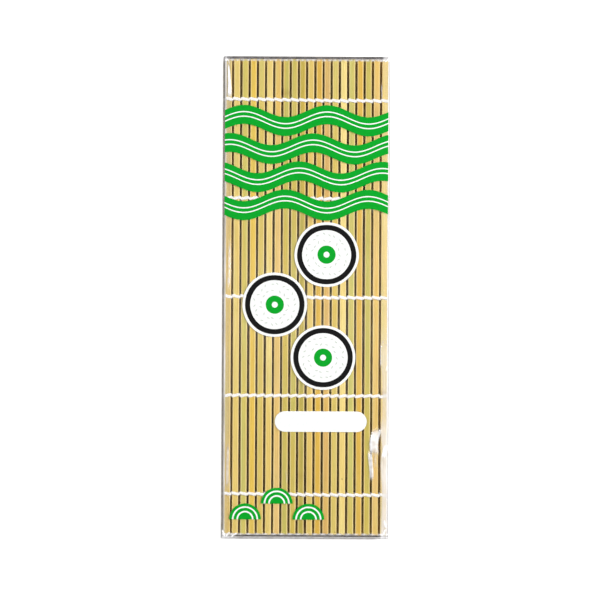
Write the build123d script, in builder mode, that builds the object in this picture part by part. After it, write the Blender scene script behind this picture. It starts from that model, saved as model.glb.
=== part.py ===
from build123d import *
import os
from math import atan2, cos, pi, sin, tan

# A bamboo rolling mat of 60 slats, folded in three and packed in a clear film pouch.
# The slats run along Y, the strings along X, and the pack lies on its back panel.
# The origin is on the surface that it lies on, under the middle of the pouch.

# Driving dimensions, in millimetres and counts
slat_length = 240.0
slat_width = 3.35
slat_thickness = 2.0
slat_gap = 0.8
slat_corner = 0.3
slat_slip = 0.5
slats_in_panel = 20
flat_slats = 5
slats_in_group = 5

string_spacing = 49.8
strings_in_mat = 5
strand_width = 0.8
strand_thickness = 0.6
strand_bend = 0.5
strand_clearance = 0.02
lane_clearance = 0.07
strand_split = 0.3
layer_clearance = 0.06
fold_clearance = 0.1

knot_thickness = 0.8
knot_sides = 8
knot_corner = 0.2
knot_clearance = 0.03

film_thickness = 0.15
film_clearance = 0.1
margin_left = 1.6
margin_right = 1.1
margin_top = 1.7
margin_bottom = 2.3
tray_depth = 3.0
lid_depth = 2.94

# How far each slat of a panel stands out along Y, chosen by hand, as shares of the slip
slip_shares = (-0.2, 0.3, 0.1, 0.6, 0.4, -0.3, 0.5, 0.0, 0.7, 0.2,
               -0.5, 0.3, 0.8, 0.1, -0.1, 0.4, -0.6, 0.2, -0.3, -0.9)

# The two strands of a string cross between slats, one lane each side of the string's line
slat_pitch = slat_width + slat_gap
strand_half = strand_thickness / 2
lane = strand_width / 2 + lane_clearance
slant_angle = atan2(2 * lane, slat_pitch)
slant_run = slat_pitch / 2 / cos(slant_angle)
strand_spread = strand_half * cos(slant_angle) + strand_width / 2 * sin(slant_angle)
knot_length = 2 * lane + strand_width

# Heights
slat_half = slat_thickness / 2
strand_height = slat_half + strand_clearance + strand_half
strand_reach = strand_height + strand_half
layer_pitch = 2 * strand_reach + layer_clearance
back_height = film_thickness + film_clearance + strand_reach
middle_height = back_height + layer_pitch
front_height = middle_height + layer_pitch
pouch_height = front_height + strand_reach + film_clearance + film_thickness
back_fold_height = (back_height + middle_height) / 2
front_fold_height = (middle_height + front_height) / 2

# Places across the mat
panel_width = slats_in_panel * slat_pitch - slat_gap
pouch_width = margin_left + panel_width + margin_right
pouch_left = -pouch_width / 2
pouch_right = pouch_width / 2
panel_left = pouch_left + margin_left
panel_right = panel_left + panel_width
fold_reach = slat_gap / 2 + strand_spread + fold_clearance
left_fold = panel_left - fold_reach
right_fold = panel_right + fold_reach

# Places along the mat
pouch_length = margin_bottom + slat_length + margin_top
pouch_bottom = -pouch_length / 2
panel_middle = pouch_bottom + margin_bottom + slat_length / 2


def slat_place(number):
    """The middle of a slat of the panel, counted from 0 at the left."""
    return panel_left + slat_width / 2 + number * slat_pitch


def slat_middle(number):
    """The middle of a slat along Y."""
    return panel_middle + slat_slip * slip_shares[number]


def string_middle(number):
    """The line of a string along the mat, counted from 0 at the top."""
    return panel_middle + ((strings_in_mat - 1) / 2 - number) * string_spacing


def string_slant(number):
    """The strands climb to the right on every second string, and fall on the others."""
    return 1 if number % 2 else -1


def half_loop(side, slant, stop):
    """One strand over a slat at the origin, side 1, or under it, side -1."""
    turn = slant * slant_angle
    upright = Plane(origin=(0, 0, 0), x_dir=(cos(turn), sin(turn), 0), z_dir=(sin(turn), -cos(turn), 0))
    lift = strand_half * tan(pi / 8)
    outer = slant_run + strand_half
    inner = slant_run - strand_half
    right_half = (
        (slant_run - strand_bend + lift, strand_height + strand_half),
        (outer, strand_height - strand_bend + lift),
        (outer, stop),
        (inner, stop),
        (inner, strand_height - strand_bend - lift),
        (slant_run - strand_bend - lift, strand_height - strand_half),
    )
    left_half = [(-x, z) for x, z in reversed(right_half)]
    with BuildPart() as loop:
        with BuildSketch(upright):
            with BuildLine():
                Polyline([(x, side * z) for x, z in (*right_half, *left_half)], close=True)
            make_face()
        extrude(amount=strand_width / 2, both=True)
    return loop.part.solid()


def wrap(slant, stop):
    """Both strands of a string at one slat: the one over it, and the one under it."""
    return [half_loop(1, slant, stop), half_loop(-1, -slant, stop)]


def twined_string(slant, slats):
    """Both strands of a string, each unbroken over and under a row of slats."""
    pieces = wrap(slant, 0)
    strands = []
    for lead in range(2):
        with BuildPart() as strand:
            for turn in range(2):
                with Locations([(n * slat_pitch, 0, 0) for n in range(turn, slats, 2)]):
                    add(pieces[(lead + turn) % 2])
        strands.append(strand.part.solid())
    return strands


def write(piece, name):
    piece.part.label = name
    export_step(piece.part, f"parts/{name}.step")


def write_slats(numbers, height, name):
    """Slats with chamfered long edges, each its own solid."""
    with BuildPart() as slats:
        for number in numbers:
            middle = slat_middle(number)
            with BuildSketch(Plane.XZ.offset(-middle - slat_length / 2)):
                with Locations((slat_place(number), height)):
                    slat = Rectangle(slat_width, slat_thickness)
                chamfer(slat.vertices(), slat_corner)
            extrude(amount=slat_length)
    write(slats, name)


def write_strings(strings, strands, first, height, name, knot_x=None):
    """Twined strings from a slat on, cut clear of the knot that ends them, if there is one."""
    with BuildPart() as twined:
        for slant in (-1, 1):
            lines = [number for number in strings if string_slant(number) == slant]
            if lines:
                with Locations([(slat_place(first), string_middle(n), height) for n in lines]):
                    add(strands[slant])
        if knot_x is not None:
            room = knot_thickness + 2 * knot_clearance
            with Locations([(knot_x, string_middle(n), height) for n in strings]):
                Box(room, knot_length + 2 * knot_clearance, room, mode=Mode.SUBTRACT)
    write(twined, name)


def write_knots(x, height, name):
    """The knots that end the strings past the free edge of a panel, lying along Y."""
    with BuildPart() as knots:
        for number in range(strings_in_mat):
            with BuildSketch(Plane.XZ.offset(-string_middle(number) - knot_length / 2)):
                with Locations((x, height)):
                    RegularPolygon(knot_thickness / 2, knot_sides, major_radius=False,
                                   rotation=180 / knot_sides)
            extrude(amount=knot_length)
        ends = knots.faces().filter_by(Axis.Y)
        chamfer(ends.edges(), knot_corner)
    write(knots, name)


os.makedirs("parts", exist_ok=True)

# Front panel: its first slats lie flat, and each slat after them turns on its strings
for number in range(slats_in_panel):
    write_slats([number], front_height, f"front_slat_{number + 1:02d}")

all_strings = range(strings_in_mat)
flat_strands = {slant: twined_string(slant, flat_slats) for slant in (-1, 1)}
write_strings(all_strings, flat_strands, 0, front_height, "front_strings")

wraps = {slant: wrap(slant, strand_split / 2) for slant in (-1, 1)}
front_knot_x = panel_right + slat_gap / 2 + knot_clearance
for slat in range(flat_slats, slats_in_panel):
    knot_x = front_knot_x if slat == slats_in_panel - 1 else None
    write_strings(all_strings, wraps, slat, front_height, f"front_wraps_{slat + 1:02d}", knot_x)
write_knots(front_knot_x, front_height, "front_knots")

# Middle panel: folded under the front panel at the left, and over the back one at the right
for group in range(slats_in_panel // slats_in_group):
    numbers = range(group * slats_in_group, (group + 1) * slats_in_group)
    write_slats(numbers, middle_height, f"middle_slats_{group + 1}")
    write_slats(numbers, back_height, f"back_slats_{group + 1}")

panel_strands = {slant: twined_string(slant, slats_in_panel) for slant in (-1, 1)}
back_knot_x = panel_left - slat_gap / 2 - knot_clearance
for number in all_strings:
    string = [number]
    write_strings(string, panel_strands, 0, middle_height, f"middle_string_{number + 1}")
    write_strings(string, panel_strands, 0, back_height, f"back_string_{number + 1}", back_knot_x)

# Back panel: its free edge is at the left, where its strings are knotted
write_knots(back_knot_x, back_height, "back_knots")

# Film pouch: a tray under the back panel, open where the mat folds at the right
with BuildPart() as pouch_back:
    with BuildSketch():
        with Locations((pouch_left, 0)):
            Rectangle(right_fold - film_clearance - pouch_left, pouch_length,
                      align=(Align.MIN, Align.CENTER))
    extrude(amount=tray_depth)
    with BuildSketch(Plane.XY.offset(film_thickness)):
        with Locations((pouch_left + film_thickness, 0)):
            Rectangle(pouch_width, pouch_length - 2 * film_thickness,
                      align=(Align.MIN, Align.CENTER))
    extrude(amount=tray_depth, mode=Mode.SUBTRACT)
write(pouch_back, "pouch_back")

# A lid over the front panel, open where the mat folds at the left
with BuildPart() as pouch_front:
    with BuildSketch(Plane.XY.offset(pouch_height - lid_depth)):
        with Locations((pouch_right, 0)):
            Rectangle(pouch_right - left_fold - film_clearance, pouch_length,
                      align=(Align.MAX, Align.CENTER))
    extrude(amount=lid_depth)
    with BuildSketch(Plane.XY.offset(pouch_height - film_thickness)):
        with Locations((pouch_right - film_thickness, 0)):
            Rectangle(pouch_width, pouch_length - 2 * film_thickness,
                      align=(Align.MAX, Align.CENTER))
    extrude(amount=-lid_depth, mode=Mode.SUBTRACT)
write(pouch_front, "pouch_front")

# A strip over the ends of the middle panel, at the top and at the bottom of the pouch
strip_low = tray_depth + film_clearance
strip_high = pouch_height - lid_depth - film_clearance
with BuildPart() as pouch_ends:
    with BuildSketch(Plane.XY.offset(strip_low)):
        with Locations(((left_fold + right_fold) / 2, 0)):
            strip_width = right_fold - left_fold - 2 * film_clearance
            Rectangle(strip_width, pouch_length)
            Rectangle(strip_width, pouch_length - 2 * film_thickness, mode=Mode.SUBTRACT)
    extrude(amount=strip_high - strip_low)
write(pouch_ends, "pouch_ends")
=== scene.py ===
"""A bamboo rolling mat, folded in three in its clear printed pouch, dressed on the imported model."""
import math
import random

import bpy
import numpy as np
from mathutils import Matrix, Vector


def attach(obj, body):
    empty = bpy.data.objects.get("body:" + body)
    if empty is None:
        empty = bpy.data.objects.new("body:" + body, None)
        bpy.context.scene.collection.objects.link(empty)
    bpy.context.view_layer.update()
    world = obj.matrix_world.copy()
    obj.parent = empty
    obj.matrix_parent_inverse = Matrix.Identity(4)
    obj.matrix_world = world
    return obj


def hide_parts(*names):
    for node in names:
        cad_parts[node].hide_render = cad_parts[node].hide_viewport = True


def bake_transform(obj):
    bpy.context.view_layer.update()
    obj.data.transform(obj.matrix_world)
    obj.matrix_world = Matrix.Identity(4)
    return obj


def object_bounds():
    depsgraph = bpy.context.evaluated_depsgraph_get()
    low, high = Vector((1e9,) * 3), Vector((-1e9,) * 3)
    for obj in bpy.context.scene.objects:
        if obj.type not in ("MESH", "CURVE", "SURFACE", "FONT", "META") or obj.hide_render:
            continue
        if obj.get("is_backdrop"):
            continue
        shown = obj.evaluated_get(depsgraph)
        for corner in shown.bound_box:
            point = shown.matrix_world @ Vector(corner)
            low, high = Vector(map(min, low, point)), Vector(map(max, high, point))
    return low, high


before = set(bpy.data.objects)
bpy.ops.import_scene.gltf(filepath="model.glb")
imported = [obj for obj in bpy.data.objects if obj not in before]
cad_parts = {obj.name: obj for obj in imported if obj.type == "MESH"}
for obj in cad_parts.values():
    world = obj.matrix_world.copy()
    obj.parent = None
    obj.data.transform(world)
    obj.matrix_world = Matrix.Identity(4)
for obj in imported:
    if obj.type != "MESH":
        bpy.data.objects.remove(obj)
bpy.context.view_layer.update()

MM = 0.001

# The mat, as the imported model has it, in millimetres
SLAT_WIDTH, SLAT_THICKNESS, SLAT_LENGTH, SLAT_GAP = 3.35, 2.0, 240.0, 0.8
PITCH = SLAT_WIDTH + SLAT_GAP
HALF_PITCH = PITCH / 2
SLATS, FLAT_SLATS, GROUP = 20, 5, 5
SLIP = 0.5
SLIP_SHARES = (-0.2, 0.3, 0.1, 0.6, 0.4, -0.3, 0.5, 0.0, 0.7, 0.2,
               -0.5, 0.3, 0.8, 0.1, -0.1, 0.4, -0.6, 0.2, -0.3, -0.9)
PANEL_LEFT, PANEL_MIDDLE = -40.85, 0.3
STRING_SPACING, STRINGS = 49.8, 5
# The strings of a panel end half a gap past its first and its last slat
LEFT_END = PANEL_LEFT - SLAT_GAP / 2
RIGHT_END = PANEL_LEFT + SLATS * PITCH - SLAT_GAP / 2
BACK_Z, MIDDLE_Z, FRONT_Z = 1.87, 5.17, 8.47
LEFT_HINGE_X, RIGHT_HINGE_X = -41.731, 42.231

# The pouch's half sizes, its film's surface just inside them, and the heights of walls and lid
POUCH_X, POUCH_Y = 42.45, 122.0
FILM_INSET = 0.08
FILM_X, FILM_Y = POUCH_X - FILM_INSET, POUCH_Y - FILM_INSET
TRAY_LOW, TRAY_TOP, LID_LOW, LID_Z = 0.5, 3.0, 7.4, 10.22
LID_LEFT, TRAY_RIGHT = -41.62, 42.1

# The width of a panel's slats, as a share of the solids' width. The two hidden panels also lie a
# little to each side of the front one, so that no gap runs straight through all three.
FRONT_WIDE, MIDDLE_WIDE, BACK_WIDE = 0.93, 0.96, 1.04
MIDDLE_SHIFT, BACK_SHIFT = 0.05, -0.62
HIDDEN_PANELS = (("middle", MIDDLE_Z, MIDDLE_SHIFT, MIDDLE_WIDE), ("back", BACK_Z, BACK_SHIFT, BACK_WIDE))


def rng(name):
    """Random numbers that are the same at each run, apart for each piece."""
    return random.Random(name)


def smooth(t):
    t = np.clip(t, 0.0, 1.0)
    return t * t * (3 - 2 * t)


def between(value, start, stop, soft):
    """1 from start to stop, with soft ends outside them."""
    return smooth((value - start) / soft + 1) * smooth((stop - value) / soft + 1)


def waves(name, count, shortest, longest):
    """A smooth random function of one number, about -1 to 1, with waves of these lengths."""
    draw = rng(name)
    parts = [(draw.uniform(shortest, longest), draw.uniform(0, 2 * math.pi), draw.uniform(0.4, 1.0))
             for _ in range(count)]
    total = sum(p[2] for p in parts)

    def value(s):
        return sum(a * np.sin(2 * math.pi * s / length + phase) for length, phase, a in parts) / total
    return value


# Meshes

def make_piece(name, verts, faces, material, attributes=None, colors=None, flat=False):
    """A mesh object from points in millimetres, with float and colour attributes on its points."""
    mesh = bpy.data.meshes.new(name)
    points = np.asarray(verts, float) * MM
    mesh.from_pydata(points.tolist(), [], faces)
    for key, values in (attributes or {}).items():
        layer = mesh.attributes.new(key, "FLOAT", "POINT")
        layer.data.foreach_set("value", np.asarray(values, np.float32))
    for key, values in (colors or {}).items():
        layer = mesh.attributes.new(key, "FLOAT_COLOR", "POINT")
        layer.data.foreach_set("color", np.asarray(values, np.float32).ravel())
    mesh.validate()
    mesh.update()
    if not flat:
        mesh.polygons.foreach_set("use_smooth", [True] * len(mesh.polygons))
    mesh.materials.append(material)
    piece = bpy.data.objects.new(name, mesh)
    bpy.context.scene.collection.objects.link(piece)
    return piece


class Build:
    """Points, faces and values of one mesh, gathered from parts."""

    def __init__(self):
        self.verts, self.faces, self.values, self.colors = [], [], {}, {}
        self.count = 0

    def add(self, verts, faces, values=None, colors=None):
        verts = np.asarray(verts, float).reshape(-1, 3)
        self.verts.append(verts)
        self.faces += [tuple(i + self.count for i in face) for face in faces]
        for key, v in (values or {}).items():
            self.values.setdefault(key, []).append(np.broadcast_to(v, len(verts)))
        for key, v in (colors or {}).items():
            self.colors.setdefault(key, []).append(np.broadcast_to(v, (len(verts), 4)))
        self.count += len(verts)

    def piece(self, name, material, slot):
        return make_piece(
            name, np.concatenate(self.verts), self.faces, material,
            {k: np.concatenate(v) for k, v in self.values.items()},
            {k: np.concatenate(v) for k, v in self.colors.items()})


def tube_faces(rings, sides):
    """Quads between rings of points, with both ends closed."""
    faces = []
    for r in range(rings - 1):
        for s in range(sides):
            t = (s + 1) % sides
            faces.append((r * sides + s, r * sides + t, (r + 1) * sides + t, (r + 1) * sides + s))
    faces.append(tuple(range(sides))[::-1])
    faces.append(tuple((rings - 1) * sides + s for s in range(sides)))
    return faces


def grid_faces(rows, columns):
    """Quads of a sheet, from its points in rows."""
    return [(r * columns + c, r * columns + c + 1, (r + 1) * columns + c + 1, (r + 1) * columns + c)
            for r in range(rows - 1) for c in range(columns - 1)]


# Materials

def linear(red, green, blue):
    """A colour written as on a screen, from 0 to 255, in the linear values that shaders take."""
    def channel(v):
        v /= 255
        return v / 12.92 if v <= 0.04045 else ((v + 0.055) / 1.055) ** 2.4
    return (channel(red), channel(green), channel(blue), 1.0)


class Nodes:
    """Short names for making the nodes of a material or a world and linking them."""

    def __init__(self, block):
        self.block = block
        block.use_nodes = True
        self.tree = block.node_tree
        self.tree.nodes.clear()

    def put(self, socket, value):
        if isinstance(value, bpy.types.NodeSocket):
            self.tree.links.new(value, socket)
        else:
            socket.default_value = value

    def make(self, kind, inputs=None, **settings):
        node = self.tree.nodes.new(kind)
        for key, value in settings.items():
            setattr(node, key, value)
        for key, value in (inputs or {}).items():
            self.put(node.inputs[key], value)
        return node

    def math(self, operation, a, b=0.0, clamp=False):
        node = self.make("ShaderNodeMath", {0: a, 1: b}, operation=operation)
        node.use_clamp = clamp
        return node.outputs[0]

    def mix(self, factor, a, b, blend="MIX"):
        node = self.make("ShaderNodeMix", data_type="RGBA", blend_type=blend)
        self.put(node.inputs[0], factor)
        self.put(node.inputs[6], a)
        self.put(node.inputs[7], b)
        return node.outputs[2]

    def span(self, value, low, high, to_low=0.0, to_high=1.0):
        node = self.make("ShaderNodeMapRange", {0: value, 1: low, 2: high, 3: to_low, 4: to_high})
        node.clamp = True
        return node.outputs[0]

    def tint(self, colour, value, low, high, share, second):
        """The colour, with up to a share of a second one where a value goes from low to high."""
        return self.mix(self.span(value, low, high, 0.0, share), colour, second)

    def place(self, x, y, z, offset=(0, 0, 0)):
        """Object coordinates in metres, scaled by these amounts: 1000 / n gives features of n mm."""
        coords = self.make("ShaderNodeTexCoord").outputs["Object"]
        return self.make("ShaderNodeMapping", {"Vector": coords, "Scale": (x, y, z),
                                               "Location": offset}).outputs[0]

    def noise(self, vector, detail=2.0, rough=0.5):
        return self.make("ShaderNodeTexNoise", {"Vector": vector, "Scale": 1.0, "Detail": detail,
                                                "Roughness": rough}).outputs["Fac"]

    def value(self, name, socket="Fac"):
        return self.make("ShaderNodeAttribute", attribute_name=name).outputs[socket]

    def bump(self, height, strength, distance):
        return self.make("ShaderNodeBump", {"Height": height, "Strength": strength,
                                            "Distance": distance}).outputs[0]

    def white_seen(self, path):
        """1 for the rays that see a white background: from the camera, and off gloss and glass."""
        mirrored = self.math("MAXIMUM", path["Is Glossy Ray"], path["Is Transmission Ray"])
        return self.math("MAXIMUM", path["Is Camera Ray"], mirrored)

    def finish(self, shader, output="ShaderNodeOutputMaterial"):
        self.tree.links.new(shader, self.make(output).inputs["Surface"])
        return self.block


WHITE = (1, 1, 1, 1)

# The bamboo's colours besides its slats' tones: the arrises' pale colour is a painted highlight, the sides'
# browns are painted shade
HONEY, MOSS, DRY_TAN = linear(232, 190, 76), linear(206, 198, 118), linear(222, 180, 92)
PAINTED_ARRIS_HIGHLIGHT, PAINTED_SHADE_BROWN, PAINTED_SHADE_TAN = linear(252, 232, 164), linear(132, 62, 4), linear(172, 92, 12)
SPECK_BROWN, FLAW_BROWN = linear(104, 66, 26), linear(142, 104, 48)
RING_BROWN, END_BROWN = linear(150, 112, 56), linear(150, 108, 52)


def bamboo():
    """Split bamboo: a tone for each slat, fibres, a painted highlight on the arrises, painted shade on the
    sides, specks and nodes.
    """
    n = Nodes(bpy.data.materials.new("bamboo"))
    drift = n.noise(n.place(230, 14, 60), 1.5)
    patch = n.noise(n.place(420, 40, 60, (3, 5, 1)), 2.0)
    fibre = n.noise(n.place(5200, 60, 2600), 3.0, 0.6)
    streak = n.noise(n.place(1900, 22, 900, (7, 2, 4)), 2.0, 0.55)
    speck = n.noise(n.place(1500, 520, 700, (1, 9, 3)), 1.0)
    flaw = n.noise(n.place(2600, 150, 900, (5, 1, 8)), 2.0)
    pores = n.noise(n.place(4200, 300, 4200, (2, 2, 2)), 1.0)
    rough_side = n.span(n.noise(n.place(900, 60, 900, (8, 3, 2)), 2.0), 0.35, 0.65)

    colour = n.tint(n.value("tone", "Color"), drift, 0.42, 0.68, 0.5, HONEY)
    colour = n.tint(colour, patch, 0.5, 0.72, 0.4, MOSS)
    colour = n.tint(colour, streak, 0.35, 0.75, 0.4, DRY_TAN)
    grain = n.span(fibre, 0.3, 0.7, 0.8, 1.02)
    grain_blue = n.math("POWER", grain, 1.5)
    shade = n.make("ShaderNodeCombineColor", {0: grain, 1: grain, 2: grain_blue}).outputs[0]
    colour = n.mix(1.0, colour, shade, "MULTIPLY")
    # Painted highlight: a pale line along each rounded arris
    arris = n.math("MULTIPLY", n.value("arris"), n.span(streak, 0.25, 0.7, 1.0, 0.5))
    colour = n.mix(arris, colour, PAINTED_ARRIS_HIGHLIGHT)
    # Painted shade: the slats' sides, down in the gaps, go dark brown
    side = n.math("MULTIPLY", n.value("side"), 0.92)
    colour = n.mix(side, colour, n.mix(rough_side, PAINTED_SHADE_BROWN, PAINTED_SHADE_TAN))
    colour = n.tint(colour, speck, 0.77, 0.81, 0.75, SPECK_BROWN)
    colour = n.tint(colour, flaw, 0.71, 0.8, 0.4, FLAW_BROWN)
    colour = n.mix(n.math("MULTIPLY", n.value("ring"), 0.5), colour, RING_BROWN)
    end = n.math("MULTIPLY", n.value("end"), n.span(pores, 0.4, 0.6, 0.25, 0.7))
    colour = n.mix(end, colour, END_BROWN)

    height = n.math("ADD", n.math("MULTIPLY", fibre, 0.6), n.math("MULTIPLY", streak, 0.8))
    shader = n.make("ShaderNodeBsdfPrincipled", {
        "Base Color": colour, "Roughness": n.span(streak, 0.3, 0.7, 0.42, 0.62),
        "Normal": n.bump(height, 0.35, 0.0001), "Specular IOR Level": 0.12})
    return n.finish(shader.outputs[0])


YARN_WHITE, PAINTED_GROOVE_SHADE, FUZZ_CREAM = linear(254, 253, 248), linear(222, 216, 220), linear(243, 238, 224)


def cotton():
    """Loose white cotton yarn: plies, fine fuzz and a faint lilac painted shade in the grooves."""
    n = Nodes(bpy.data.materials.new("cotton"))
    ply = n.value("ply")
    fuzz = n.noise(n.place(9000, 9000, 9000), 3.0, 0.7)
    # Painted shade: the grooves between the plies are lilac grey
    colour = n.mix(n.span(ply, -1.0, 0.4, 0.55, 0.0), YARN_WHITE, PAINTED_GROOVE_SHADE)
    colour = n.tint(colour, fuzz, 0.35, 0.75, 0.3, FUZZ_CREAM)
    height = n.math("ADD", n.math("MULTIPLY", ply, 0.4), fuzz)
    shader = n.make("ShaderNodeBsdfPrincipled", {
        "Base Color": colour, "Roughness": 0.9, "Normal": n.bump(height, 0.5, 0.00008),
        "Specular IOR Level": 0.15, "Sheen Weight": 0.25, "Sheen Roughness": 0.5})
    return n.finish(shader.outputs[0])


# The last of these tints is painted shade along the film's folded edges
CLEAR_TINT, SLANT_TINT, PAINTED_EDGE_SHADE_TINT = (0.985, 0.985, 0.99, 1), (0.62, 0.6, 0.62, 1), (0.10, 0.09, 0.10, 1)
# The glare white is the colour of the painted glare and glints
PAINTED_GLARE_WHITE = (0.98, 0.97, 0.975, 1)


def film():
    """Clear glossy film: it lets light through, dims and greys where it is seen edge on, and glints; painted
    glare and glints lie on it too.
    """
    n = Nodes(bpy.data.materials.new("film"))
    facing = n.make("ShaderNodeLayerWeight", {"Blend": 0.5}).outputs["Facing"]
    steep = n.math("POWER", facing, 2.2)
    cloud = n.noise(n.place(420, 70, 420), 2.0)
    crinkle = n.noise(n.place(1300, 420, 1300, (4, 4, 4)), 2.0)
    normal = n.bump(crinkle, 0.04, 0.0002)

    tint = n.mix(n.span(steep, 0.25, 0.95), CLEAR_TINT, SLANT_TINT)
    # Painted shade: the tint goes dark along the film's folded edges
    folded = n.math("MULTIPLY", n.value("dark"), n.span(cloud, 0.3, 0.65, 0.75, 1.0))
    tint = n.mix(folded, tint, PAINTED_EDGE_SHADE_TINT)
    clear = n.make("ShaderNodeBsdfTransparent", {"Color": tint})
    gloss = n.make("ShaderNodeBsdfGlossy", {"Color": WHITE, "Roughness": 0.14, "Normal": normal})
    crease_gloss = n.math("MULTIPLY", n.value("fold"), 0.16)
    mirror = n.math("ADD", n.span(steep, 0.0, 0.9, 0.004, 0.2), crease_gloss, clamp=True)
    shine = n.make("ShaderNodeMixShader", {0: mirror, 1: clear.outputs[0], 2: gloss.outputs[0]})
    # Painted glare and glints: a dull white film, mixed in by the haze attribute
    painted_glare_shader = n.make("ShaderNodeBsdfPrincipled", {
        "Base Color": PAINTED_GLARE_WHITE, "Roughness": 0.35, "Normal": normal, "Specular IOR Level": 0.5})
    amount = n.math("MULTIPLY", n.value("haze"), n.span(cloud, 0.35, 0.65, 0.8, 1.15), clamp=True)
    mixed = n.make("ShaderNodeMixShader", {0: amount, 1: shine.outputs[0], 2: painted_glare_shader.outputs[0]})
    return n.finish(mixed.outputs[0])


def ink(name, colour, second):
    """Printed ink under the film's gloss, with the slight mottle of a screen print."""
    n = Nodes(bpy.data.materials.new(name))
    mottle = n.noise(n.place(700, 700, 700), 3.0, 0.6)
    fine = n.noise(n.place(5200, 5200, 5200), 1.0)
    shade = n.tint(colour, mottle, 0.3, 0.7, 1.0, second)
    shade = n.tint(shade, fine, 0.45, 0.8, 0.12, second)
    shader = n.make("ShaderNodeBsdfPrincipled", {
        "Base Color": shade, "Roughness": n.span(mottle, 0.3, 0.7, 0.35, 0.5),
        "Specular IOR Level": 0.05, "Normal": n.bump(fine, 0.05, 0.00005)})
    return n.finish(shader.outputs[0])


BAMBOO, COTTON, FILM = bamboo(), cotton(), film()
GREEN_INK = ink("green_ink", linear(0, 154, 34), linear(2, 164, 42))
WHITE_INK = ink("white_ink", linear(252, 252, 250), linear(240, 243, 241))
GREY_INK = ink("grey_ink", linear(214, 220, 212), linear(205, 212, 203))
BLACK_INK = ink("black_ink", linear(6, 6, 7), linear(14, 13, 14))

# Slats

STRAW, PALE_STRAW, PEACH = linear(232, 208, 136), linear(246, 224, 156), linear(232, 196, 136)
KHAKI, OLIVE, DARK_OLIVE = linear(214, 198, 122), linear(198, 188, 104), linear(184, 172, 88)
GREEN_OLIVE, GOLD, AMBER = linear(206, 204, 124), linear(234, 198, 92), linear(222, 178, 78)
TAN, PINK_TAN, GREY_TAN = linear(224, 188, 124), linear(222, 178, 126), linear(206, 184, 128)
FRONT_TONES = (GREY_TAN, STRAW, GREEN_OLIVE, GOLD, KHAKI, PALE_STRAW, PEACH, OLIVE, OLIVE, DARK_OLIVE,
               STRAW, AMBER, PINK_TAN, KHAKI, PALE_STRAW, GREEN_OLIVE, AMBER, OLIVE, PEACH, PALE_STRAW)
ANY_TONES = (STRAW, PALE_STRAW, KHAKI, OLIVE, GOLD, TAN, GREY_TAN, PEACH)

# The rounding of a slat's corners, the bevel of its ends and where its even steps begin
CORNER, END_BEVEL, FIRST_STEP = 0.22, 0.12, 1.2
FRONT_STEPS, HIDDEN_STEPS = 92, 40
# A corner's four points, from the slat's face to its side, take these shares of the sides' painted shade
CORNER_PAINTED_SHADE = (0.0, 0.1, 0.7, 1.0)
FACE_POINTS = (0.58, 0.0, -0.58)
# How uneven a slat is: first the waves in its shape, then how it differs from other slats
BOW, WIDTH_WAVE, THICKNESS_WAVE, CROWN = 0.07, 0.012, 0.014, 0.03
PLACE_SPREAD, LESS_WIDE, MORE_WIDE, TONE_SPREAD = 0.05, -0.015, 0.01, 0.05
BLUE_SHARE = 0.88
# The ring where the cane had a node: how many slats have one, and how far it reaches
RING_CHANCE, RING_REACH = 0.55, 1.1
# The sides between slats get more painted shade than the two at the edges of the mat
OUTER_PAINTED_SHADE = 0.15


def slat_x(number):
    return PANEL_LEFT + SLAT_WIDTH / 2 + number * PITCH


def slat_y(number):
    return PANEL_MIDDLE + SLIP * SLIP_SHARES[number]


def string_y(number):
    return PANEL_MIDDLE + ((STRINGS - 1) / 2 - number) * STRING_SPACING


def string_slant(number):
    return 1 if number % 2 else -1


def slat_section():
    """A slat's section for half sizes of 1: (x share, z share, corner x, corner z, painted arris highlight,
    painted side shade).
    """
    points = []
    for quarter, (sx, sz) in enumerate(((1, -1), (1, 1), (-1, 1), (-1, -1))):
        to_side = quarter % 2 == 0
        for k in (0, 1, 2, 3) if to_side else (3, 2, 1, 0):
            angle = math.radians(90 * (1 - k / 3))
            corner_x, corner_z = sx * (math.cos(angle) - 1), sz * (math.sin(angle) - 1)
            points.append((sx, sz, corner_x, corner_z, 1.0, CORNER_PAINTED_SHADE[k]))
        if to_side:
            points.append((sx, 0.0, 0.0, 0.0, 0.0, 1.0))
        else:
            points += [(sx * share, sz, 0.0, 0.0, 0.0, 0.0) for share in FACE_POINTS]
    return np.array(points)


SECTION = slat_section()


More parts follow.
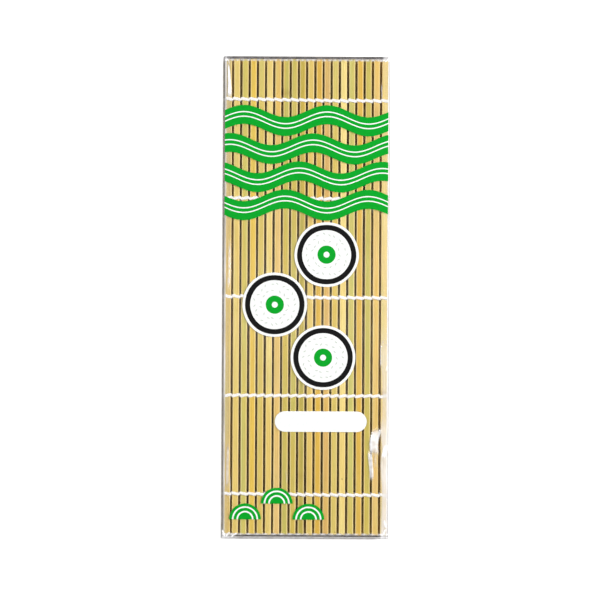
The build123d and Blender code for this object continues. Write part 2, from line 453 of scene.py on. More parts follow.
def add_slat(build, number, z, name, tone, steps, shift, wide):
    """One slat, a little uneven along its length, with rounded arrises and square-cut ends."""
    draw = rng(name)
    bow, edge = waves(name + "bow", 3, 160, 420), waves(name + "edge", 4, 22, 90)
    thick = waves(name + "t", 3, 40, 160)
    half = SLAT_LENGTH / 2
    middle = slat_y(number)
    even = np.linspace(-half + FIRST_STEP, half - FIRST_STEP, steps)
    along = np.concatenate([[-half, -half + END_BEVEL], even, [half - END_BEVEL, half]])
    x_middle = slat_x(number) + shift + draw.uniform(-PLACE_SPREAD, PLACE_SPREAD)
    spread = wide + draw.uniform(LESS_WIDE, MORE_WIDE)
    ring_at = [draw.uniform(-half, half)] if draw.random() < RING_CHANCE else []
    # Painted shade on the sides, weaker on the outer sides at the mat's two edges
    at_edge = (number == 0) & (SECTION[:, 0] < 0) | (number == SLATS - 1) & (SECTION[:, 0] > 0)
    painted_side_shade = SECTION[:, 5] * np.where(at_edge, OUTER_PAINTED_SHADE, 1.0)
    on_face = (SECTION[:, 2] == 0) & (np.abs(SECTION[:, 1]) == 1)
    crown = np.where(on_face, CROWN * SECTION[:, 1], 0.0)
    rows, arris, side, ring, end = [], [], [], [], []
    for y in along:
        at_tip = abs(y) == half
        tip = END_BEVEL if at_tip else 0.0
        w = SLAT_WIDTH / 2 * spread * (1 + WIDTH_WAVE * edge(y)) - tip
        h = SLAT_THICKNESS / 2 * (1 + THICKNESS_WAVE * thick(y)) - tip
        dx = BOW * bow(y)
        xs = SECTION[:, 0] * w + SECTION[:, 2] * CORNER
        zs = SECTION[:, 1] * h + SECTION[:, 3] * CORNER
        rows.append(np.column_stack([x_middle + dx + xs, np.full(len(xs), middle + y), z + zs + crown]))
        arris.append(SECTION[:, 4])
        side.append(painted_side_shade)
        near = sum(math.exp(-((y - at) / RING_REACH) ** 2) for at in ring_at)
        ring.append(np.full(len(xs), near))
        end.append(np.full(len(xs), 1.0 if at_tip else 0.0))
    shade = 1 + draw.uniform(-TONE_SPREAD, TONE_SPREAD)
    color = (tone[0] * shade, tone[1] * shade, tone[2] * shade * BLUE_SHARE, 1.0)
    build.add(np.concatenate(rows), tube_faces(len(along), len(SECTION)),
              {"arris": np.concatenate(arris), "side": np.concatenate(side), "ring": np.concatenate(ring),
               "end": np.concatenate(end)}, {"tone": color})


for number in range(SLATS):
    name = f"slat_{number + 1:02d}_bamboo"
    build = Build()
    add_slat(build, number, FRONT_Z, name, FRONT_TONES[number], FRONT_STEPS, 0.0, FRONT_WIDE)
    slat = build.piece(name, BAMBOO, "bamboo")
    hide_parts(f"front_slat_{number + 1:02d}")
    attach(slat, "front_panel" if number < FLAT_SLATS else f"slat_{number + 1:02d}")

for panel, z, shift, wide in HIDDEN_PANELS:
    draw = rng(panel + "tones")
    for group in range(SLATS // GROUP):
        build = Build()
        for number in range(group * GROUP, (group + 1) * GROUP):
            tone = draw.choice(ANY_TONES)
            add_slat(build, number, z, f"{panel}{number}", tone, HIDDEN_STEPS, shift, wide)
        slats = build.piece(f"{panel}_bamboo_{group + 1}", BAMBOO, "bamboo")
        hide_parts(f"{panel}_slats_{group + 1}")
        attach(slats, f"{panel}_panel")

# Strings

# A strand's line: how far over or under a slat's middle it runs, how high it crosses from slat to
# slat, how far it keeps to one side of its string, how square its loops are, and its small waves
STRAND_RISE, STRAND_CROSS, LANE, LOOP_POWER = 1.33, 0.5, 0.32, 7.0
STRAND_WANDER, STRAND_LIFT = 0.1, 0.02
STRAND_HALF_WIDTH, STRAND_HALF_THICKNESS = 0.78, 0.3
TURN_HALF_WIDTH, TURN_HALF_THICKNESS, TURN_BULGE = 0.44, 0.3, 0.3
# The yarn's lobes repeat in this length, in the strings and in the finer knots
YARN_TWIST, KNOT_TWIST = 1.7, 1.2
YARN_LOBE, YARN_SWELL, TIP_LENGTH = 0.1, 0.06, 0.2
FRONT_SAMPLES, FRONT_SIDES, HIDDEN_SAMPLES, HIDDEN_SIDES = 30, 12, 16, 9
# How much lower each front string is at the right edge than at the left one, in millimetres
STRING_DROPS = (0.7, 0.25, 0.5, 0.15, 0.5)
ALONG_X, ALONG_Y = (1, 0, 0), (0, 1, 0)


def half_loop_line(side, samples):
    """A strand's line over a slat, side 1, or under it, side -1: x and z from gap to gap."""
    angle = np.linspace(math.pi, 0, samples * 6)
    x = HALF_PITCH * np.sign(np.cos(angle)) * np.abs(np.cos(angle)) ** (2 / LOOP_POWER)
    z = (STRAND_RISE - side * STRAND_CROSS) * np.abs(np.sin(angle)) ** (2 / LOOP_POWER)
    steps = np.concatenate([[0], np.cumsum(np.hypot(np.diff(x), np.diff(z)))])
    even = np.linspace(0, steps[-1], samples)
    return np.interp(even, steps, x), STRAND_CROSS + side * np.interp(even, steps, z)


def string_drop(number, x):
    """How far a front string is under its straight line: over it at the left, under it at the right."""
    share = (x - PANEL_LEFT) / (SLATS * PITCH)
    return STRING_DROPS[number] * (smooth(share * 1.4) - 0.5)


def strand_line(name, number, slats, lead, samples):
    """The middle line of one of a string's two strands over a row of slats, at the mat's mid-plane."""
    wander, lift = waves(name + "y", 4, 5, 26), waves(name + "z", 3, 6, 20)
    slant = string_slant(number)
    lines = []
    for place, slat in enumerate(slats):
        side = 1 if (slat + lead) % 2 == 0 else -1
        x, z = half_loop_line(side, samples)
        lane = side * slant * LANE * np.sin(x / HALF_PITCH * math.pi / 2)
        px = slat_x(slat) + x
        py = string_y(number) + lane + STRAND_WANDER * wander(px)
        pz = z * (1 + STRAND_LIFT * lift(px))
        keep = slice(0 if place == 0 else 1, None)
        lines.append(np.column_stack([px, py, pz])[keep])
    return np.concatenate(lines)


def add_strand(build, line, name, sides, wide=STRAND_HALF_WIDTH, thick=STRAND_HALF_THICKNESS,
               twist=YARN_TWIST, side_axis=ALONG_Y, tips=(0.55, 0.55)):
    """A plied yarn along a line: a flattened tube of three lobes that wind round it."""
    line = np.asarray(line, float)
    tangent = np.gradient(line, axis=0)
    tangent /= np.linalg.norm(tangent, axis=1)[:, None]
    across = np.array(side_axis, float) - tangent * (tangent @ np.array(side_axis, float))[:, None]
    across /= np.linalg.norm(across, axis=1)[:, None]
    out = np.cross(across, tangent)
    length = np.concatenate([[0], np.cumsum(np.linalg.norm(np.diff(line, axis=0), axis=1))])
    draw = rng(name)
    phase = draw.uniform(0, 2 * math.pi)
    swell = waves(name + "swell", 3, 3, 12)
    angles = np.arange(sides) / sides * 2 * math.pi
    rows, ply = [], []
    for i, point in enumerate(line):
        turn = 2 * math.pi * length[i] / twist / 3 + phase
        lobes = np.cos(3 * (angles - turn))
        # Where the strand dives between slats it is narrower and thicker
        dive = abs(tangent[i][2])
        size = 1 + YARN_SWELL * swell(length[i])
        w = wide * (1 - 0.42 * dive * dive) * size
        h = thick * (1 + 0.2 * dive) * size
        to_end = length[-1] - length[i]
        ends = min(1.0, tips[0] + length[i] / TIP_LENGTH, tips[1] + to_end / TIP_LENGTH)
        radius = (1 + YARN_LOBE * lobes) * ends
        rows.append(point + across[i] * (w * np.cos(angles) * radius)[:, None]
                    + out[i] * (h * np.sin(angles) * radius)[:, None])
        ply.append(lobes)
    build.add(np.concatenate(rows), tube_faces(len(line), sides), {"ply": np.concatenate(ply)})


def add_string(build, name, number, slats, z, samples, sides, shift=0.0):
    """Both strands of a string over a row of slats, cut a little short so that they end in a gap."""
    for lead in range(2):
        line = strand_line(f"{name[0]}{number}{lead}", number, slats, lead, samples)
        first = 3 if slats[0] == 0 else 1
        line = line[first:-1] + (shift, 0, z)
        if z == FRONT_Z:
            line[:, 1] -= string_drop(number, line[:, 0])
        add_strand(build, line, f"{name}{number}{lead}", sides)


build = Build()
for number in range(STRINGS):
    add_string(build, "front", number, range(FLAT_SLATS), FRONT_Z, FRONT_SAMPLES, FRONT_SIDES)
strings = build.piece("front_yarn", COTTON, "string")
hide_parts("front_strings")
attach(strings, "front_panel")

for slat in range(FLAT_SLATS, SLATS):
    build = Build()
    for number in range(STRINGS):
        add_string(build, f"front{slat}", number, [slat], FRONT_Z, FRONT_SAMPLES, FRONT_SIDES)
    wraps = build.piece(f"yarn_on_slat_{slat + 1:02d}", COTTON, "string")
    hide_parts(f"front_wraps_{slat + 1:02d}")
    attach(wraps, f"slat_{slat + 1:02d}")

for panel, z, shift, _ in HIDDEN_PANELS:
    for number in range(STRINGS):
        build = Build()
        add_string(build, panel, number, range(SLATS), z, HIDDEN_SAMPLES, HIDDEN_SIDES, shift)
        string = build.piece(f"{panel}_yarn_{number + 1}", COTTON, "string")
        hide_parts(f"{panel}_string_{number + 1}")
        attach(string, f"{panel}_panel")

# How far past the strings' ends a knot is, its size, and the half sizes of its yarn and its tails
KNOT_OUT = 0.06
KNOT_X, KNOT_Y, KNOT_Z = 0.16, 0.62, 0.55
KNOT_YARN, TAIL_WIDTH, TAIL_THICKNESS = 0.21, 0.2, 0.17


def knot_line(x, y, z):
    """A small overhand knot, pulled tight, lying along the edge of the mat."""
    t = np.linspace(0.12, 2 * math.pi - 0.12, 90)
    ky = (np.sin(t) + 2 * np.sin(2 * t)) / 3 * KNOT_Y
    kz = (np.cos(t) - 2 * np.cos(2 * t)) / 3 * KNOT_Z
    kx = -KNOT_X * np.sin(3 * t)
    return np.column_stack([x + kx, y + ky, z + kz])


def add_knots(build, x, z, outward, name):
    """A knot at the end of each string, with two short frayed tails."""
    for number in range(STRINGS):
        y = string_y(number) - (string_drop(number, x) if z == FRONT_Z else 0.0)
        draw = rng(f"{name}{number}")
        line = knot_line(x, y, z)
        add_strand(build, line, f"{name}{number}", 9, KNOT_YARN, KNOT_YARN, KNOT_TWIST, ALONG_X)
        for way in (-1, 1):
            length = draw.uniform(0.55, 0.9)
            s = np.linspace(0, 1, 12)
            tail = np.column_stack([x + outward * 0.12 * np.sin(s * 2), y + way * (0.25 + length * s),
                                    z + 0.35 - 0.5 * s * s])
            add_strand(build, tail, f"{name}{number}{way}", 8, TAIL_WIDTH, TAIL_THICKNESS, KNOT_TWIST,
                       ALONG_X, (0.9, 0.5))


build = Build()
add_knots(build, RIGHT_END + KNOT_OUT, FRONT_Z, 1, "front_knot")
knots = build.piece("front_yarn_knots", COTTON, "string")
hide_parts("front_knots")
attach(knots, f"slat_{SLATS:02d}")

build = Build()
add_knots(build, LEFT_END - KNOT_OUT + BACK_SHIFT / 2, BACK_Z, -1, "back_knot")
knots = build.piece("back_yarn_knots", COTTON, "string")
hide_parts("back_knots")
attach(knots, "back_panel")


def add_turns(build, x_low, x_high, low, high, outward, name):
    """The two strands of each string, going round a folded edge of the mat."""
    s = np.linspace(0, 1, 26)
    x = x_low + (x_high - x_low) * s + outward * (TURN_BULGE * np.sin(math.pi * s) ** 0.8)
    z = low + (high - low) * s
    for number in range(STRINGS):
        lean = string_drop(number, x_high) * s if high > MIDDLE_Z else 0.0 * s
        for lane in (-1, 1):
            line = np.column_stack([x, string_y(number) + lane * LANE - lean, z])
            add_strand(build, line, f"{name}{number}{lane}", 10, TURN_HALF_WIDTH, TURN_HALF_THICKNESS)


# How far inside the two panels' mid-planes a turn's yarn ends, and its bending begins
TURN_INSET, BEND_INSET = 0.02, 0.5

build = Build()
add_turns(build, LEFT_END + MIDDLE_SHIFT, LEFT_END, MIDDLE_Z + TURN_INSET, FRONT_Z - TURN_INSET, -1,
          "left_turn")
turns = build.piece("left_yarn_turns", COTTON, "string")
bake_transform(turns)

build = Build()
add_turns(build, RIGHT_END + BACK_SHIFT, RIGHT_END + MIDDLE_SHIFT, BACK_Z + TURN_INSET,
          MIDDLE_Z - TURN_INSET, 1, "right_turn")
turns = build.piece("right_yarn_turns", COTTON, "string")
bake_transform(turns)

# Film pouch

# Creases in the film: (x, y) of both ends, the width at each in millimetres, and the strength of the painted
# glint on each
CREASES = (
    (-39.6, 119.0, -38.8, 100.3, 0.8, 2.6, 1.2), (-38.9, 31.0, -38.4, 3.0, 1.4, 1.8, 0.3),
    (-39.0, -72.0, -38.6, -97.0, 1.2, 1.9, 0.35), (37.0, -65.5, 36.0, -79.5, 5.2, 5.0, 0.95),
    (36.3, -70.5, 35.6, -86.5, 1.2, 1.8, 0.3), (33.6, -76.5, 33.0, -92.4, 2.6, 2.2, 0.8),
    (-9.3, -87.0, -9.2, -94.0, 0.5, 0.5, 0.3), (41.2, -34.0, 41.0, -36.5, 0.9, 0.9, 0.6),
    (40.2, -74.5, 40.6, -81.0, 3.0, 2.0, 1.1), (40.2, -112.0, 41.6, -116.0, 1.0, 1.2, 0.7),
    (41.4, -116.5, 40.0, -119.5, 0.9, 1.2, 0.7), (-41.2, -117.0, -40.4, -121.3, 1.1, 0.8, 0.8),
    (-39.9, -121.0, -37.4, -118.6, 0.9, 1.2, 0.9), (-37.0, -121.2, -33.8, -118.8, 0.8, 1.1, 0.8),
    (-40.6, 121.0, -38.6, 118.2, 0.9, 0.8, 0.4), (39.4, 118.9, 41.7, 121.3, 0.7, 0.9, 0.7),
    (38.1, 109.0, 38.2, 100.0, 0.5, 0.5, 0.5), (38.3, -22.0, 38.0, -36.0, 0.5, 0.8, 0.4),
    (-40.9, 96.0, -40.4, 92.0, 0.6, 0.8, 0.5), (-37.6, -90.0, -37.9, -104.0, 0.6, 0.9, 0.25),
)
# The slope of a crease's sides, across the mat, and the painted glint on a crease whose glint strength is 1
CREASE_SLOPE, CREASE_PAINTED_GLINT = 0.22, 0.95
# How far the film sinks between two strings, and how far from a string its rise to it reaches
TENT_SINK, TENT_REACH = 0.13, 7.0
# Where the lid begins to crumple at its ends, and where it curves down to its walls and how far
CRUMPLES_FROM = 118.5
END_CURVE, END_FALL, RIGHT_CURVE, RIGHT_FALL = 120.4, 1.5, 41.2, 1.0


def crease_shares(x, y):
    """For each crease: how near a point is to its crest, from 0 to 1, its taper, width, slope
    and the strength of its painted glint."""
    for number, (x0, y0, x1, y1, start, stop, white) in enumerate(CREASES):
        run = math.hypot(x1 - x0, y1 - y0)
        ux, uy = (x1 - x0) / run, (y1 - y0) / run
        s = ((x - x0) * ux + (y - y0) * uy) / run
        width = start + (stop - start) * np.clip(s, 0, 1)
        bend = 0.3 * start * np.sin(s * 3.0 + number)
        d = np.abs((x - x0) * -uy + (y - y0) * ux - bend)
        taper = smooth(s / 0.25) * smooth((1 - s) / 0.22)
        yield np.clip(1 - 2 * d / width, 0, 1), taper, width, CREASE_SLOPE / max(abs(uy), 0.35), white


def film_fold(x, y):
    """1 on the creases, where the film is stretched: it shines there, and painted white glints lie there."""
    fold = np.zeros(np.shape(x))
    for near, taper, _, _, white in crease_shares(x, y):
        broken = 0.87 + 0.13 * np.sin(y * 2.9 + 2.0 * np.sin(y * 0.9) + x)
        fold = np.maximum(fold, smooth(near * 2.5) * taper * white * broken)
    return fold


def film_rise(x, y):
    """The lid's height over its level: tented over the strings, drawn down at its edges, creased."""
    x, y = np.asarray(x, float), np.asarray(y, float)
    rise = -TENT_SINK * np.ones_like(x)
    for number in range(STRINGS):
        rise = rise + TENT_SINK * np.exp(-((y - string_y(number)) / TENT_REACH) ** 2)
    for near, taper, width, slope, _ in crease_shares(x, y):
        rise = rise + slope * width / 2 * taper * (near - 0.16 * near * near)
    # Slow waves all over, and small crumples past the slats' ends
    rise = rise + 0.012 * np.sin(x * 0.31 + y * 0.045 + 1.0) + 0.01 * np.sin(x * 0.12 - y * 0.11)
    past_ends = smooth((np.abs(y) - CRUMPLES_FROM) / 3.0)
    rise = rise + past_ends * 0.05 * np.sin(x * 1.7 + 2.0 * np.sin(x * 0.37)) * np.sin(y * 1.1)
    rise = rise - END_FALL * np.clip((np.abs(y) - END_CURVE) / (POUCH_Y - END_CURVE), 0, 1) ** 2
    rise = rise - RIGHT_FALL * np.clip((x - RIGHT_CURVE) / (POUCH_X - RIGHT_CURVE), 0, 1) ** 2
    return rise


def sheet_grid(xs, ys, height, haze, dark):
    """A sheet of film over a grid of x and y, with values for its haze and painted glare and for its painted
    edge shade.
    """
    gx, gy = np.meshgrid(xs, ys)
    build = Build()
    build.add(np.column_stack([gx.ravel(), gy.ravel(), height(gx, gy).ravel()]),
              grid_faces(len(ys), len(xs)),
              {"haze": haze(gx, gy).ravel(), "dark": dark(gx, gy).ravel(),
               "fold": film_fold(gx, gy).ravel()})
    return build


def add_wall(build, line, heights, haze, dark, inward, name):
    """A strip of film along a line of (x, y) points, from one height to another, with soft crumples."""
    wrinkle, second = waves(name, 5, 3, 17), waves(name + "b", 4, 2, 9)
    run = np.concatenate([[0], np.cumsum(np.hypot(*np.diff(line, axis=0).T))])
    rows = []
    shares = np.linspace(0, 1, 7)
    for share in shares:
        swing = 0.12 * math.sin(math.pi * share) * (0.6 * wrinkle(run) + 0.4 * second(run + 5 * share))
        z = heights[0] + (heights[1] - heights[0]) * share
        rows.append(np.column_stack([line[:, 0] + inward[0] * swing, line[:, 1] + inward[1] * swing,
                                     np.full(len(line), z)]))
    build.add(np.concatenate(rows), grid_faces(len(shares), len(line)),
              {"haze": haze, "dark": dark, "fold": 0.0})


def add_side_wall(build, way, heights, haze, dark, name):
    """The film down the right side of the pouch, way 1, or its left side, way -1."""
    ys = np.linspace(-FILM_Y, FILM_Y, 160)
    line = np.column_stack([np.full(len(ys), way * FILM_X), ys])
    add_wall(build, line, heights, haze, dark, (-way, 0), name)


def add_end_walls(build, left, right, heights, top_look, bottom_look):
    """The film over the pouch's two ends. A look is the wall's haze and painted glare, its painted edge
    shade and its name.
    """
    xs = np.linspace(left, right, 80)
    for way, look in ((1, top_look), (-1, bottom_look)):
        line = np.column_stack([xs, np.full(len(xs), way * FILM_Y)])
        haze, dark, name = look
        add_wall(build, line, heights, haze, dark, (0, -way), name)


def lid_haze_and_painted_glare(x, y):
    """Where painted glare makes the film a dull white: down the right edge, over the slats' ends, at its
    folds and on its creases.
    """
    # Down the right side the painted glare is streaky and grows towards the bottom, in two steps
    streaks = 0.5 + 0.5 * np.sin(y * 0.21 + 1.7 * np.sin(y * 0.083) + 0.7 * x)
    glare = 0.12 + 0.22 * smooth((-8.0 - y) / 22.0) + 0.32 * smooth((-58.0 - y) / 14.0)
    right = smooth((x - 38.4 + 0.5 * streaks) / 1.1) * glare * (0.8 + 0.25 * streaks)
    # The fold at the right edge is a brighter line of painted highlight, which fades on its outer side
    right = np.maximum(right, smooth((x - 41.1) / 0.3) * 0.62) - smooth((x - 41.7) / 0.3) * 0.3
    # The fold at the left is a thin line of painted highlight, with a faint painted glare inside it
    left = between(x, -41.0, -40.45, 0.25) * (0.26 + 0.2 * streaks) + smooth((-37.4 - x) / 2.5) * 0.1
    # Broken lines of painted highlight lie over the slats' ends, and the bottom seam is dull beyond its
    # line, its own haze with painted glare
    top = between(y, 119.6, 120.25, 0.35) * (0.3 + 0.15 * np.sin(x * 2.3))
    bottom = between(y, -119.7, -119.1, 0.3) * (0.35 + 0.2 * np.sin(x * 1.51))
    bottom = bottom + smooth((-120.55 - y) / 0.25) * 0.5
    # The film is gathered at two corners, at the bottom left and at the top right, with painted glints on
    # the crumples
    corner = smooth((-33.0 - x) / 6.0) * smooth((-118.6 - y) / 2.0) * 0.35
    corner = corner + smooth((x - 38.0) / 2.0) * smooth((y - 119.6) / 0.6) * 0.4
    # The creases add their painted white glints
    haze = np.maximum(right, left) + top + bottom + corner + CREASE_PAINTED_GLINT * film_fold(x, y)
    return np.clip(haze, 0, 1)


def lid_painted_edge_shade(x, y):
    """Painted shade along the film's four folded edges, where it is seen edge on."""
    top = smooth((y - 120.3) / 0.3) * (0.86 - 0.4 * smooth((x - 38.0) / 3.0))
    bottom = between(y, -120.45, -120.0, 0.25) * 0.85 + smooth((-120.6 - y) / 0.4) * 0.35
    left = smooth((-40.95 - x) / 0.2) * 0.5 + smooth((-40.4 - x) / 0.25) * 0.4
    right = between(x, 41.75, 42.4, 0.25) * 0.6
    return np.clip(top + bottom + left + right, 0, 1)


# The lid's grid is finer at its edges, where the film curves and crumples
xs = np.concatenate([np.linspace(LID_LEFT, -35, 34), np.linspace(-34.6, 30, 170),
                     np.linspace(30.3, FILM_X, 62)])
ys = np.concatenate([np.linspace(-FILM_Y, -115, 30), np.linspace(-114, 114, 200),
                     np.linspace(115, FILM_Y, 30)])
build = sheet_grid(xs, ys, lambda x, y: LID_Z + film_rise(x, y), lid_haze_and_painted_glare, lid_painted_edge_shade)
# A wall's last values are its haze and painted glare, then its painted edge shade
add_side_wall(build, 1, (LID_LOW, LID_Z - 1.1), 0.1, 0.0, "rw")
add_end_walls(build, LID_LEFT, FILM_X, (LID_LOW, LID_Z - 1.6), (0.06, 0.1, "tw"), (0.12, 0.05, "bw"))
lid = build.piece("film_lid", FILM, "film")
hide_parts("pouch_front")
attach(lid, "pouch_lid")


def tray_height(x, y):
    """The tray's film is slack under the mat, and turns up at its ends and its left side."""
    slack = 0.05 * np.sin(x * 0.4 + 0.6 * np.sin(y * 0.1)) * np.sin(y * 0.13)
    ends = 0.4 * np.clip((np.abs(y) - 121.0) / 1.0, 0, 1) ** 2
    return 0.1 + slack + ends + 0.4 * np.clip((-41.6 - x) / 0.85, 0, 1) ** 2


build = sheet_grid(np.linspace(-FILM_X, TRAY_RIGHT, 120), np.linspace(-FILM_Y, FILM_Y, 240),
                   tray_height, lambda x, y: 0.1 + 0 * x, lambda x, y: 0 * x)
# Here too a wall's values are its haze and painted glare, then its painted edge shade
add_side_wall(build, -1, (TRAY_LOW + 0.05, TRAY_TOP), 0.08, 0.05, "lt")
add_end_walls(build, -FILM_X, TRAY_RIGHT, (TRAY_LOW, TRAY_TOP), (0.08, 0.05, "tt"), (0.1, 0.05, "bt"))
tray = build.piece("film_back", FILM, "film")
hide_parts("pouch_back")
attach(tray, "back_panel")

SHELL_GAP = 0.1
build = Build()
# The end strips' values are their haze and painted glare, then their painted edge shade
add_end_walls(build, LEFT_HINGE_X + SHELL_GAP, RIGHT_HINGE_X - SHELL_GAP,
              (TRAY_TOP + SHELL_GAP, LID_LOW - SHELL_GAP), (0.08, 0.05, "ts"), (0.1, 0.05, "bs"))
strips = build.piece("film_ends", FILM, "film")
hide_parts("pouch_ends")
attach(strips, "middle_panel")


def side_band(name, x, low, high, outward, over, haze, dark):
    """The film round a folded edge of the mat, from the lower panel's level to the upper one's."""
    ys = np.linspace(-POUCH_Y + 0.3, POUCH_Y - 0.3, 200)
    wrinkle = waves(name, 5, 6, 40)
    shares = np.linspace(0, 1, 25)
    rows = []
    for share in shares:
        angle = (share - 0.5) * math.pi
        bow = math.cos(angle) ** 0.35 if 0 < share < 1 else 0.0
        z = low + (high - low) * share
        out = over * bow + 0.05 * bow * wrinkle(ys + 9 * share)
        rows.append(np.column_stack([x + outward * out, ys, np.full(len(ys), z)]))
    build = Build()
    build.add(np.concatenate(rows), grid_faces(len(shares), len(ys)),
              {"haze": haze, "dark": dark, "fold": 0.0})
    band = build.piece(name, FILM, "film")
    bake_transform(band)


# Each band's last two values are its haze and painted glare, then its painted edge shade
side_band("film_left_fold", LEFT_HINGE_X, 3.9, 9.85, -1, 0.5, 0.08, 0.15)
side_band("film_right_fold", RIGHT_HINGE_X - SHELL_GAP, 0.3, 6.75, 1, 0.24, 0.08, 0.05)

# Print on the lid: plain waves and rounds of a design of its own

INK_LIFT, GRAIN_LIFT = 0.035, 0.03


def drape(points):
    """Points of the print, laid on the lid's film."""
    points = np.asarray(points, float)
    z = LID_Z + film_rise(points[:, 0], points[:, 1]) + INK_LIFT
    return np.column_stack([points[:, 0], points[:, 1], z])


def add_rows(build, rows):
    """A printed patch from rows of (x, y) points."""
    build.add(drape(np.concatenate(rows)), grid_faces(len(rows), len(rows[0])))


def add_ribbon(build, left, right, low, high, rows=7):
    """A printed ribbon between two curves y(x)."""
    xs = np.linspace(left, right, 340)
    add_rows(build, [np.column_stack([xs, low(xs) + (high(xs) - low(xs)) * share])
                     for share in np.linspace(0, 1, rows)])


def add_ring(build, x, y, inner, outer, stop=360.0, wobble=0.0, name="ring"):
    """A printed ring, or a sector of one from its right end on."""
    turns = max(24, int(stop / 3))
    rows = max(2, int((outer - inner) / 0.9) + 2)
    angles = np.radians(np.linspace(0.0, stop, turns + 1))
    hand = waves(name, 3, 0.7, 2.1)
    shape = 1 + wobble * (hand(np.cos(angles)) + hand(np.sin(angles) + 3))
    add_rows(build, [np.column_stack([x + r * shape * np.cos(angles), y + r * shape * np.sin(angles)])
                     for r in np.linspace(inner, outer, rows)])


def add_grains(build, x, y, name):
    """Pale grains in two rings round the middle of a printed round: (radius, how many)."""
    draw = rng(name + "grains")
    turns = np.linspace(0, 2 * math.pi, 9)[:-1]
    ox, oy = 0.85 * np.cos(turns), 0.3 * np.sin(turns)
    for radius, count in ((7.0, 15), (10.2, 22)):
        for k in range(count):
            angle = 2 * math.pi * (k + draw.uniform(-0.2, 0.2)) / count
            lean = angle + draw.uniform(0.5, 2.6)
            middle = radius + draw.uniform(-0.5, 0.5)
            px = x + middle * math.cos(angle) + ox * math.cos(lean) - oy * math.sin(lean)
            py = y + middle * math.sin(angle) + ox * math.sin(lean) + oy * math.cos(lean)
            grain = drape(np.column_stack([px, py])) + (0, 0, GRAIN_LIFT)
            build.add(grain, [tuple(range(len(turns)))])


def add_pill(build, x, y, half_length, radius):
    """A bare printed bar with round ends."""
    xs = x + (half_length + radius - 0.02) * -np.cos(np.linspace(0, math.pi, 80))
    past = np.clip(np.abs(xs - x) - half_length, 0, radius)
    half = np.sqrt(np.maximum(radius ** 2 - past ** 2, 0.0004))
    add_rows(build, [np.column_stack([xs, y + half * share]) for share in np.linspace(-1, 1, 11)])


def wave_line(base, phase):
    """One edge of a ribbon, as a curve y(x)."""
    return lambda x: base + WAVE_HIGH * np.sin(2 * math.pi * (x + phase) / WAVE_LENGTH)


green, white, black, grey = Build(), Build(), Build(), Build()

# Four green ribbons with two white lines in each, between edges at these heights over its base
WAVE_LEFT, WAVE_RIGHT = LID_LEFT + 0.5, POUCH_X - 1.0
WAVE_HIGH, WAVE_LENGTH = 3.0, 42.0
RIBBONS, RIBBON_TOP, RIBBON_STEP, RIBBON_PHASE = 4, 84.6, 14.2, 7.0
RIBBON_EDGES = (0.0, 3.6, 4.2, 5.9, 6.5, 9.6)
for row in range(RIBBONS):
    base, phase = RIBBON_TOP - row * RIBBON_STEP, RIBBON_PHASE * row
    edge = [wave_line(base + lift, phase) for lift in RIBBON_EDGES]
    for low, high in ((0, 1), (2, 3), (4, 5)):
        add_ribbon(green, WAVE_LEFT, WAVE_RIGHT, edge[low], edge[high])
    for low, high in ((1, 2), (3, 4)):
        add_ribbon(white, WAVE_LEFT, WAVE_RIGHT, edge[low], edge[high], rows=3)

# Three rounds: a white rim, a black ring, a white field with grains, and a green eye
ROUNDS = ((10.5, 21.8), (-15.5, -3.6), (9.0, -30.2))
RIM, RING, FIELD, EYE, PUPIL = 16.3, 15.0, 12.4, 4.6, 1.5
for place, (x, y) in enumerate(ROUNDS):
    name = f"round{place}"
    add_ring(white, x, y, RING, RIM, wobble=0.008, name=name)
    add_ring(black, x, y, FIELD, RING, wobble=0.008, name=name)
    add_ring(white, x, y, EYE, FIELD, wobble=0.004, name=name)
    add_ring(green, x, y, PUPIL, EYE)
    add_ring(white, x, y, 0.02, PUPIL)
    add_grains(grey, x, y, name)

# Three small arches at the bottom left, each of half rings inside one another
ARCHES = ((-30.0, -112.0), (-14.0, -104.0), (2.0, -112.0))
ARCH_RINGS = ((6.6, 8.0, green), (5.8, 6.6, white), (4.3, 5.8, green), (3.5, 4.3, white), (0.02, 3.5, green))
for x, y in ARCHES:
    for inner, outer, build in ARCH_RINGS:
        add_ring(build, x, y, inner, outer, stop=180.0)

add_pill(white, 8.0, -62.5, 18.0, 5.2)

for build, name, material in ((white, "print_white", WHITE_INK), (green, "print_green", GREEN_INK),
                              (black, "print_black", BLACK_INK), (grey, "print_grey", GREY_INK)):
    piece = build.piece(name, material, "film")
    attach(piece, "pouch_lid")

# Floor, light and camera

# The floor's half size and height, and how far it glows towards white where it is seen bare
FLOOR_REACH, FLOOR_Z, FLOOR_GLOW = 1500, -0.05, 0.6
PAPER_GREY, PAPER_WHITE = (0.9, 0.9, 0.9, 1), (0.93, 0.93, 0.93, 1)
# The world's light on the object, and its own brightness where it is seen, of which 1 is white
WORLD_LIGHT, WORLD_SEEN = 0.1, 1.0


def paper():
    """Pale paper, which glows only where it isn't seen through the film."""
    n = Nodes(bpy.data.materials.new("paper_floor"))
    path = n.make("ShaderNodeLightPath").outputs
    speckle = n.noise(n.place(90, 90, 90), 2.0)
    diffuse = n.make("ShaderNodeBsdfDiffuse", {"Color": n.mix(speckle, PAPER_GREY, PAPER_WHITE)})
    bare = n.math("LESS_THAN", path["Transparent Depth"], 0.5)
    seen = n.math("MULTIPLY", n.white_seen(path), bare)
    glow = n.make("ShaderNodeEmission", {"Color": WHITE, "Strength": n.math("MULTIPLY", seen, FLOOR_GLOW)})
    both = n.make("ShaderNodeAddShader", {0: diffuse.outputs[0], 1: glow.outputs[0]})
    return n.finish(both.outputs[0])


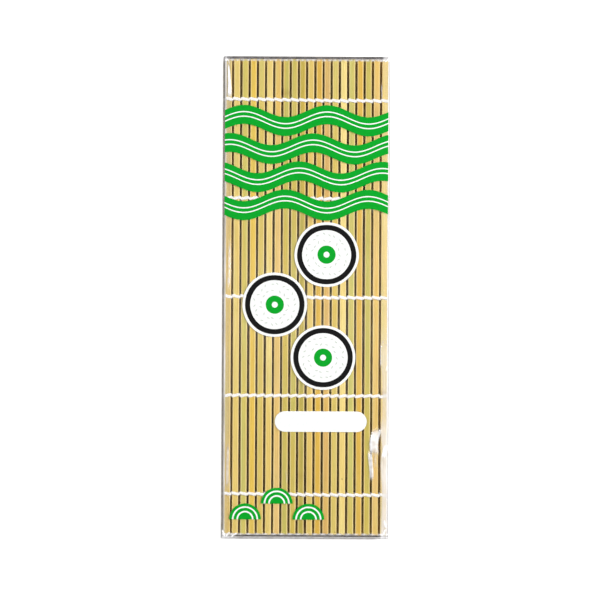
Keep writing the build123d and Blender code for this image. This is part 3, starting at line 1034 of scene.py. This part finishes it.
def studio():
    """A world that gives little light, and looks white to the camera and in gloss and glass."""
    n = Nodes(bpy.data.worlds.new("studio"))
    seen = n.white_seen(n.make("ShaderNodeLightPath").outputs)
    strength = n.span(seen, 0.0, 1.0, WORLD_LIGHT, WORLD_SEEN)
    background = n.make("ShaderNodeBackground", {"Color": WHITE, "Strength": strength})
    return n.finish(background.outputs[0], "ShaderNodeOutputWorld")


def lamp(name, place, size, power):
    """A soft rectangular lamp that points at the origin."""
    data = bpy.data.lights.new(name, "AREA")
    data.shape = "RECTANGLE"
    data.size, data.size_y = size
    data.energy = power
    light = bpy.data.objects.new(name, data)
    bpy.context.scene.collection.objects.link(light)
    light.location = place
    way = Vector((0, 0, 0)) - Vector(place)
    light.rotation_euler = way.to_track_quat("-Z", "Y").to_euler()


corners = [(x * FLOOR_REACH, y * FLOOR_REACH, FLOOR_Z) for x, y in ((-1, -1), (1, -1), (1, 1), (-1, 1))]
floor = make_piece("floor", corners, [(0, 1, 2, 3)], paper(), flat=True)
floor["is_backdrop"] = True
bpy.context.scene.world = studio()

# Places and sizes in metres, power in watts: one key lamp, and a long strip at each side
STRIP_X, STRIP_Z, STRIP_SIZE, STRIP_POWER = 0.65, 1.0, (0.05, 1.6), 6.2
lamp("key", (0.85, 0.35, 0.95), (0.4, 0.4), 10.8)
lamp("strip_left", (-STRIP_X, 0.0, STRIP_Z), STRIP_SIZE, STRIP_POWER)
lamp("strip_right", (STRIP_X, 0.0, STRIP_Z), STRIP_SIZE, STRIP_POWER)

# The camera looks straight down, and the photograph's pixels are this size at the mat's face
PIXEL, IMAGE_PIXELS = 0.505 * MM, 600
SENSOR, CAMERA_HEIGHT, FACE_HEIGHT = 36.0, 1.5, 0.0095
CAMERA_X, CAMERA_Y = -5.5 * PIXEL, -2.3 * PIXEL
CAMERA_TURN = math.radians(0.29)
camera_data = bpy.data.cameras.new("camera")
camera_data.sensor_width = SENSOR
camera_data.lens = SENSOR * (CAMERA_HEIGHT - FACE_HEIGHT) / (IMAGE_PIXELS * PIXEL)
camera = bpy.data.objects.new("camera", camera_data)
bpy.context.scene.collection.objects.link(camera)
camera.location = (CAMERA_X, CAMERA_Y, CAMERA_HEIGHT)
camera.rotation_euler = (0, 0, CAMERA_TURN)
bpy.context.scene.camera = camera
bpy.context.scene.view_settings.view_transform = "Standard"

low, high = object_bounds()
